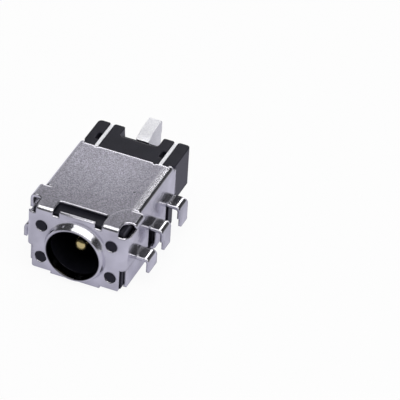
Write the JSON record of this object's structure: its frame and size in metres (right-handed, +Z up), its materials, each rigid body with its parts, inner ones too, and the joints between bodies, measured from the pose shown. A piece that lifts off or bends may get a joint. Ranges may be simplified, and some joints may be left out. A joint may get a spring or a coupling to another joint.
{
  "type": "dc barrel jack",
  "caption": "Board-mount power jack: folded metal shield with a round plug mouth, centre pin, moulded body, solder legs and a rear terminal.",
  "frame": {"origin": "where the socket axis meets the front plate's outer face", "axes": "+Y into the jack along the socket axis, +X to the right seen from the plug, +Z up from the board"},
  "size_m": [0.01, 0.0149, 0.0057],
  "materials": {
    "shield": "satin nickel plated spring steel, fine mottled grain on the top",
    "moulding": "semi-matte black moulded thermoplastic",
    "pin_gold": "gold plated, smooth",
    "terminal_tin": "bright tin plated strip"
  },
  "bodies": {
    "root": {"shield_shell": "shield", "housing": "moulding", "center_pin": "pin_gold", "power_terminal": "terminal_tin", "left_contact": "terminal_tin", "right_contact": "terminal_tin"}
  },
  "joints": []
}
